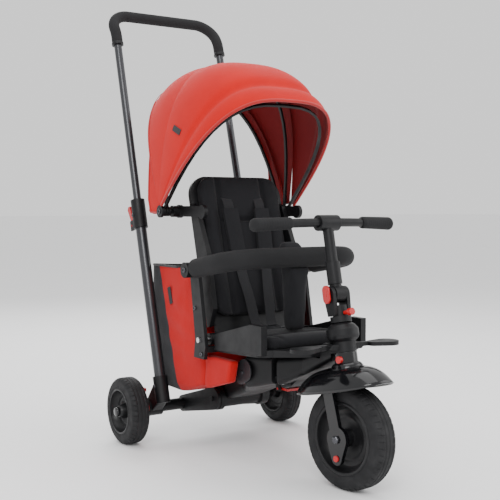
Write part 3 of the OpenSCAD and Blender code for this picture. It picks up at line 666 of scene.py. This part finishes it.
def set_coords(o, co):
    o.data.vertices.foreach_set("co", np.ascontiguousarray(co, float).ravel())
    o.data.update()


def local(co, matrix):
    """Coordinates in the frame of matrix."""
    inv = np.array(matrix.inverted())
    return co @ inv[:3, :3].T + inv[:3, 3]


def near(values, at, half=0.0035):
    return np.abs(values - at) < half


def sew(o, amount, depth, direction):
    """Presses the seam lines in; amount is 0 to 1 for each vertex."""
    set_coords(o, coords(o) + (amount * depth)[:, None] * np.array(direction[:]))


def inflate(o, pinned, pressure=4.0, cap=0.008, stiff=14.0):
    """Blows the piece up a little as cloth, held where pinned is true, and keeps the result."""
    start = coords(o)
    group = o.vertex_groups.new(name="pin")
    group.add([int(i) for i in np.nonzero(pinned)[0]], 1.0, "REPLACE")
    mod = o.modifiers.new("cloth", "CLOTH")
    c = mod.settings
    c.quality = 5
    c.mass = 0.2
    c.tension_stiffness = c.compression_stiffness = c.shear_stiffness = stiff
    c.bending_stiffness = 0.6
    c.use_pressure = True
    c.uniform_pressure_force = pressure
    c.effector_weights.gravity = 0.0
    c.vertex_group_mass = "pin"
    mod.point_cache.frame_start, mod.point_cache.frame_end = 1, 20
    scene = bpy.context.scene
    for f in range(1, 21):
        scene.frame_set(f)
    e = o.evaluated_get(bpy.context.evaluated_depsgraph_get())
    me = e.to_mesh()
    end = np.zeros(len(me.vertices) * 3)
    me.vertices.foreach_get("co", end)
    e.to_mesh_clear()
    o.modifiers.clear()
    o.vertex_groups.clear()
    scene.frame_set(1)
    move = end.reshape(-1, 3) - start
    size = np.linalg.norm(move, axis=1, keepdims=True)
    move *= np.minimum(1.0, cap / np.maximum(size, 1e-9))
    set_coords(o, start + np.nan_to_num(move))


def back_cushion():
    """The backrest's pad: a stitched frame round a long middle cushion."""
    o = from_cad("back_cushion", "back_pad", 0.005, "pad_fabric", 3)
    loc = local(coords(o), BACK)
    across, up = np.abs(loc[:, 0]), loc[:, 2]
    face = np.clip((-loc[:, 1] - 0.012) / 0.010, 0, 1)
    seam = near(across, 0.060) | ((near(up, 0.150) | near(up, 0.262)) & (across < 0.062))
    sew(o, np.where(seam, 1.0, 0.0) * face, 0.0075, BACK.to_3x3() @ Vector((0, 1, 0)))
    inflate(o, (loc[:, 1] > -0.0065) | (seam & (face > 0.5)), 5.0, 0.007)
    subdivide(o)
    put(o, "backrest", ["back_pad"])


def seat_cushion():
    """The seat's pad, with a stitched border."""
    o = from_cad("seat_cushion", "seat_pad", 0.005, "pad_fabric", 4)
    loc = local(coords(o), SEAT)
    across = np.abs(loc[:, 0])
    top = np.clip((loc[:, 2] - 0.014) / 0.008, 0, 1)
    seam = near(across, 0.078) | (near(loc[:, 1], -0.050) & (across < 0.08))
    sew(o, np.where(seam, 1.0, 0.0) * top, 0.007, SEAT.to_3x3() @ Vector((0, 0, -1)))
    inflate(o, (loc[:, 2] < 0.0015) | (seam & (top > 0.5)), 5.0, 0.007)
    subdivide(o)
    put(o, "chassis", ["seat_pad"])


def post_cushion():
    """The crotch post: a padded sleeve over a stiff strap."""
    o = from_cad("post_cushion", "crotch_post", 0.0045, "pad_fabric", 6)
    loc = local(coords(o), BAR)
    near_bar = np.hypot(loc[:, 1] + 0.196, loc[:, 2]) < 0.026
    inflate(o, near_bar, 3.0, 0.005)
    subdivide(o)
    put(o, "safety_bar", ["crotch_post"])


back_cushion()
seat_cushion()
post_cushion()

# ---------------------------------------------------------------- storage bag
BAG_FLOOR, BAG_H, BAG_TOP = 0.128, 0.285, 0.413
BAG_BACK, BAG_HALF, BAG_CORNER = 0.050, 0.1245, 0.016
# Height and y of the bag's front, which leans with the backrest.
BAG_FRONT = [(0.128, -0.100), (0.160, -0.206), (0.232, -0.206), (0.240, -0.190),
             (0.262, -0.194), (0.306, -0.185), (0.360, -0.168), (0.398, -0.143),
             (0.413, -0.089)]
BAG_SWELL = (0.000, 0.0030, 0.0045, 0.0030)
RING = 96


def bag_ring(z):
    """A rounded rectangle at height z, swollen and crumpled on all sides but the front."""
    y0 = float(np.interp(z, [p[0] for p in BAG_FRONT], [p[1] for p in BAG_FRONT]))
    y1 = BAG_BACK - 0.012 * max(0.0, (0.150 - z) / 0.022)
    hw, r = BAG_HALF - 0.006 * max(0.0, (0.145 - z) / 0.017), BAG_CORNER
    load = math.sin(math.pi * min(1, max(0, (z - BAG_FLOOR) / BAG_H)))
    pts = []
    for k in range(RING):
        q = k / RING * 4
        side, u = int(q), q - int(q)
        x, y, n = ((-hw + 2 * hw * u, y0, (0, -1)), (hw, y0 + (y1 - y0) * u, (1, 0)),
                   (hw - 2 * hw * u, y1, (0, 1)), (-hw, y1 - (y1 - y0) * u, (-1, 0)))[side]
        cx, cy = min(max(x, -hw + r), hw - r), min(max(y, y0 + r), y1 - r)
        d = Vector((x - cx, y - cy))
        if d.length > r and abs(x - cx) > 0 and abs(y - cy) > 0:
            d = d.normalized() * r
            x, y = cx + d.x, cy + d.y
        out = BAG_SWELL[side] * (math.sin(math.pi * u) ** 0.8 * load)
        if side != 0:
            broad = 0.0026 * noise.noise(Vector((x * 14, y * 18, z * 15)))
            fine = 0.0010 * noise.noise(Vector((x * 40, y * 46, z * 22)))
            fold = 0.0012 * math.sin(z * 120 + u * 9) * math.sin(math.pi * u) ** 2 * load
            out += (broad + fine) * 0.8 + fold
        pts.append(Vector((x + n[0] * out, y + n[1] * out, z)))
    return pts


def bag_slump(x):
    """How far the mouth drops between its corners."""
    return 0.005 * (1 - (x / 0.126) ** 2)


def bag_shell():
    """The lofted fabric shell, open at the top."""
    levels = [BAG_FLOOR + BAG_H * k / 60 for k in range(61)]
    verts = [(q.x, q.y, q.z - max(0.0, (z - 0.36) / 0.053) * bag_slump(q.x))
             for z in levels for q in bag_ring(z)]
    faces = grid_faces(len(levels), RING, wrap_cols=True)
    faces.append(tuple(range(RING)))
    bag = add("bag_shell", verts, faces, "dark_red_fabric", GROUND, angle=75)
    thicken(bag, 0.0026)
    put(bag, "chassis", ["storage_bag"])


def prism(name, outline, x0, x1, size, material, rounds):
    """A soft block with a side-view outline in Y and Z, from x0 to x1."""
    n = len(outline)
    v = [(x, y, z) for x in (x0, x1) for y, z in outline]
    f = [tuple(range(n)), tuple(range(n, 2 * n))[::-1]]
    f += [(k, (k + 1) % n, n + (k + 1) % n, n + k) for k in range(n)]
    return soften(add(name, v, f, material, GROUND), size, rounds)


def bag_wing(s):
    """The bag's side flap, which reaches forward below the seat's arm."""
    outline = [(-0.204, 0.152), (-0.298, 0.179), (-0.309, 0.226), (-0.204, 0.226)]
    wing = prism(f"bag_wing_{pair(s)}", outline, s * 0.102, s * 0.126, 0.004, "bag_red", 6)
    co = coords(wing)
    wave = [noise.noise(Vector(p) * 22) for p in local(co, GROUND)]
    co[:, 0] += s * 0.002 * np.array(wave)
    set_coords(wing, co)
    put(wing, "chassis")


def bag_piping(s):
    """Piping down a rear corner."""
    pts = [max(bag_ring(0.140 + 0.270 * k / 30), key=lambda q: s * q.x + q.y) for k in range(31)]
    put(tube(f"bag_corner_piping_{pair(s)}", pts, 0.0022, "piping", GROUND, 8), "chassis")


def bag_binding():
    """The bound edge round the mouth."""
    mouth = [Vector((q.x, q.y, 0.4125 - bag_slump(q.x))) for q in bag_ring(BAG_TOP)]
    put(tube("bag_mouth_binding", mouth, 0.0030, "piping", GROUND, 8, closed=True), "chassis")


bag_shell()
for s in (-1, 1):
    bag_wing(s)
for s in (-1, 1):
    bag_piping(s)
bag_binding()

# ---------------------------------------------------------------- harness
STRAP_W, STRAP_T = 0.026, 0.0022


def on(matrix, points):
    return [matrix @ Vector(p) for p in points]


def shoulder_strap(s):
    """From its slot in the backrest down to the buckle on the seat."""
    line = on(BACK, [(s * 0.042, -0.012, 0.318), (s * 0.042, -0.0265, 0.306),
                     (s * 0.041, -0.031, 0.270), (s * 0.038, -0.031, 0.205),
                     (s * 0.033, -0.032, 0.140), (s * 0.026, -0.036, 0.085)])
    line += on(SEAT, [(s * 0.020, 0.078, 0.040), (s * 0.012, 0.060, 0.036)])
    strap = ribbon(f"harness_{pair(s)}", smooth_line(line, 8), STRAP_W, STRAP_T, (1, 0, 0),
                   "webbing")
    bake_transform(strap)
    if s < 0:
        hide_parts("shoulder_straps")


def shoulder_pad(s):
    """The padded sleeve over a shoulder strap."""
    cover = on(BACK, [(s * 0.042, -0.0335, 0.285), (s * 0.0405, -0.0345, 0.250),
                      (s * 0.038, -0.0345, 0.205), (s * 0.035, -0.0345, 0.165)])
    sleeve = ribbon(f"harness_pad_{pair(s)}", smooth_line(cover, 8), 0.040, 0.0085, (1, 0, 0),
                    "pad_fabric")
    put(sleeve, "backrest")


def lap_strap(s):
    """From the buckle over the seat's edge."""
    belt = on(SEAT, [(s * 0.018, 0.052, 0.031), (s * 0.045, 0.055, 0.0305),
                     (s * 0.080, 0.060, 0.0295), (s * 0.104, 0.066, 0.026),
                     (s * 0.1125, 0.070, 0.012)])
    lap = ribbon(f"lap_strap_{pair(s)}", smooth_line(belt, 8), STRAP_W, STRAP_T,
                 SEAT.to_3x3() @ Vector((0, 1, 0)), "webbing")
    put(lap, "chassis", ["lap_belt"] if s < 0 else ())


for s in (-1, 1):
    shoulder_strap(s)
    shoulder_pad(s)
    lap_strap(s)

# ---------------------------------------------------------------- handlebar
bar_lo, bar_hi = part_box("handlebar")
BAR_CENTRE = Matrix.Translation((0, (bar_lo.y + bar_hi.y) / 2, (bar_lo.z + bar_hi.z) / 2))
BAR_REACH, BAR_R = 0.172, 0.0100
GRIP_IN, GRIP_L, GRIP_R = 0.088, 0.088, 0.0158


def bar_line(x):
    """The bar's middle line: swept back and down a little towards its ends."""
    q = (abs(x) / BAR_REACH) ** 2
    return Vector((x, 0.010 * q - 0.001, 0.004 * (1 - q) - 0.003))


def handlebar():
    pts = [bar_line(-0.165 + 0.33 * k / 60) for k in range(61)]
    bar = tube("handlebar_swept", pts, BAR_R, "black_plastic", BAR_CENTRE, 28, flat=0.88)
    put(bar, "stem", ["handlebar"])


def grip_radius(q):
    """Thick towards its outer end, which is round; a small lip at its inner end."""
    if q < 0.06:
        return min(GRIP_R * (1 - 0.10 * (1 - q)), 0.0118 + 0.05 * q)
    if q < 0.9:
        return GRIP_R * (1 - 0.10 * (1 - q))
    return GRIP_R * math.sqrt(max(0.02, 1 - ((q - 0.9) / 0.1) ** 2 * 0.98))


def grip(s, turn=40, steps=46):
    """A fat oval grip with fine ribs round it."""
    verts = []
    for k in range(steps + 1):
        q = k / steps
        c = bar_line(s * (GRIP_IN + GRIP_L * q))
        r = grip_radius(q) - (0.0006 if 4 < k < 38 and k % 3 == 0 else 0.0)
        for m in range(turn):
            a = 2 * math.pi * m / turn
            verts.append(c + Vector((0, r * math.cos(a), r * 0.86 * math.sin(a))))
    faces = grid_faces(steps + 1, turn, wrap_cols=True)
    faces += [tuple(range(turn)), tuple(steps * turn + m for m in range(turn))]
    o = add(f"grip_{pair(s)}", verts, faces, "foam", BAR_CENTRE)
    put(o, "stem", ["handlebar_grips"] if s < 0 else ())


handlebar()
grip(-1)
grip(1)

# ---------------------------------------------------------------- small parts
# name, frame, (x, y, z) on the left, body, head radius
SCREWS = [
    ("arm_screw", GROUND, (0.146, -0.196, 0.330), "chassis", 0.005),
    ("arm_screw_low", GROUND, (0.146, -0.224, 0.232), "chassis", 0.005),
    ("bar_pivot_screw", BAR, (0.169, 0, 0), "safety_bar", 0.006),
    ("hood_pivot_screw", CANOPY, (0.179, 0, 0), "backrest", 0.006),
    ("foot_screw", HANDLE, (0.165, 0, -0.440), "chassis", 0.0045),
    ("sleeve_screw", HANDLE, (0.165, 0, -0.030), "chassis", 0.004),
    ("panel_screw", GROUND, (0.0953, -0.308, 0.201), "chassis", 0.004),
]


def outward(matrix, s, x):
    """A place x from the middle of matrix on side s, with its own X pointing outwards."""
    turn = Matrix.Rotation(rad(0 if s > 0 else 180), 4, "Z")
    return matrix @ Matrix.Translation((s * x, 0, 0)) @ turn


def screws():
    for s in (-1, 1):
        for name, matrix, (x, y, z), body, r in SCREWS:
            bolt(f"{name}_{pair(s)}", matrix @ Vector((s * x, y, z)), (s, 0, 0), body, r)


def ends_and_collars(s):
    """A handle foam's collar, the rounded cap over the axle's end and the front axle's nut."""
    ring = [(0.0000, 0.0096), (0.0000, 0.0146), (0.0060, 0.0146), (0.0072, 0.0138),
            (0.0072, 0.0096)]
    up = HANDLE @ Matrix.Translation((s * 0.148, 0, 0.4080)) @ Matrix.Rotation(rad(-90), 4, "Y")
    put(lathe(f"foam_collar_{pair(s)}", ring, 48, "black_plastic", up), "handle")
    cap = [(0.0, 0.0001), (0.0, 0.0110), (0.0042, 0.0110), (0.0066, 0.0098),
           (0.0077, 0.0068), (0.0080, 0.0001)]
    put(lathe(f"hub_cap_{pair(s)}", cap, 48, "gloss_black", outward(REAR[s], s, 0.0250),
              closed=False), "chassis", ["axle_caps"] if s < 0 else ())
    nut = [(0.0, 0.0001), (0.0, 0.0085), (0.0038, 0.0082), (0.0055, 0.0060), (0.0058, 0.0001)]
    put(lathe(f"front_nut_{pair(s)}", nut, 6, "bolt", outward(WHEEL, s, 0.0392),
              closed=False), "fork")


def stitches(name, a, b, ang, body):
    """A raised row of stitches along the hood, clear of both pivots."""
    pts = [canopy_point(a - 0.0008, b - 0.0008, rad(5 + 170 * q / 120), ang) for q in range(121)]
    put(tube(name, pts, 0.0009, "red_piping", CANOPY, 6), body)


def label(name, centre, u, v, w, h, body):
    """A blank label, w along u and h along v, in four flat strips."""
    n = Vector(u).cross(Vector(v)).normalized()
    c, u, v = Vector(centre), Vector(u).normalized(), Vector(v).normalized()
    pts = [c + u * ((k / 4 - 0.5) * w) + v * (t * h) + n * d
           for k in range(5) for t in (-0.5, 0.5) for d in (0, 0.0008)]
    f = []
    for b in range(0, 16, 4):
        f += [(b, b + 4, b + 5, b + 1), (b + 2, b + 3, b + 7, b + 6), (b, b + 2, b + 6, b + 4),
              (b + 1, b + 5, b + 7, b + 3)]
    f += [(0, 1, 3, 2), (16, 18, 19, 17)]
    return put(add(name, pts, f, "label", angle=20), body)


def bag_label(s):
    lean = Vector((0, 0.33, 1)).normalized()
    label(f"bag_label_{pair(s)}", GROUND @ Vector((s * 0.1285, -0.050, 0.345)),
          (0, s * lean.y, s * lean.z), (0, -lean.z, lean.y), 0.040, 0.014, "chassis")


def hood_label(s, a=0.1836, b=0.3466):
    c = canopy_point(a, b, rad(90 + s * 66), 22)
    along = (canopy_point(a, b, rad(90 + s * 66), 24) - c).normalized()
    up = (canopy_point(a, b, rad(90 + s * 64), 22) - c).normalized()
    label(f"hood_label_{pair(s)}", CANOPY @ c, along * s, up, 0.034, 0.013, "canopy_front")


screws()
for s in (-1, 1):
    ends_and_collars(s)
stitches("hood_stitch_0", 0.1822, 0.3452, 45.6, "canopy_front")
stitches("hood_stitch_1", 0.1766, 0.3338, -24.6, "canopy_mid")
for s in (-1, 1):
    bag_label(s)
for s in (-1, 1):
    hood_label(s)


# ---------------------------------------------------------------- stage
def light(name, at, size, power, aim=(0, 0, 0.45)):
    d = bpy.data.lights.new(name, "AREA")
    d.shape, d.size, d.size_y, d.energy = "RECTANGLE", size, size, power
    o = bpy.data.objects.new(name, d)
    bpy.context.scene.collection.objects.link(o)
    o.location = at
    o.rotation_euler = (Vector(aim) - Vector(at)).to_track_quat("-Z", "Y").to_euler()


def stage():
    """A wide pale floor, a bright even world and four soft lights."""
    me = bpy.data.meshes.new("floor")
    pts = [(-60, -60, 0), (60, -60, 0), (60, 60, 0), (-60, 60, 0)]
    me.from_pydata(pts, [], [(0, 1, 2, 3)])
    floor = bpy.data.objects.new("floor", me)
    bpy.context.scene.collection.objects.link(floor)
    s = Shader("floor")
    pale = s.mix(s.noise(2, 3), (0.90, 0.90, 0.91), (0.93, 0.93, 0.93))
    me.materials.append(s.done(Base_Color=pale, Roughness=0.7))
    world = bpy.data.worlds.new("studio")
    bpy.context.scene.world = world
    world.use_nodes = True
    bg = world.node_tree.nodes["Background"]
    bg.inputs[0].default_value = (1.0, 1.0, 1.0, 1)
    bg.inputs[1].default_value = 1.12
    light("key", (-1.9, -2.2, 2.3), 1.6, 62)
    light("fill", (2.2, -1.6, 1.5), 2.0, 26)
    light("rim", (0.6, 2.3, 2.1), 1.4, 40)
    light("top", (0, 0, 2.8), 2.2, 30)


def camera(azimuth, elevation, distance, lens, target):
    """A camera looking at target from azimuth degrees off the front."""
    az, el = rad(azimuth), rad(elevation)
    back = Vector((math.sin(az) * math.cos(el), -math.cos(az) * math.cos(el), math.sin(el)))
    data = bpy.data.cameras.new("camera")
    data.sensor_width, data.lens = 36, lens
    o = bpy.data.objects.new("camera", data)
    bpy.context.scene.collection.objects.link(o)
    o.location = Vector(target) + back * distance
    o.rotation_euler = (-back).to_track_quat("-Z", "Y").to_euler()
    bpy.context.scene.camera = o


stage()
camera(-33.139, 2.619, 2.062, 65.91, (-0.005, SHIFT - 0.2, 0.453))
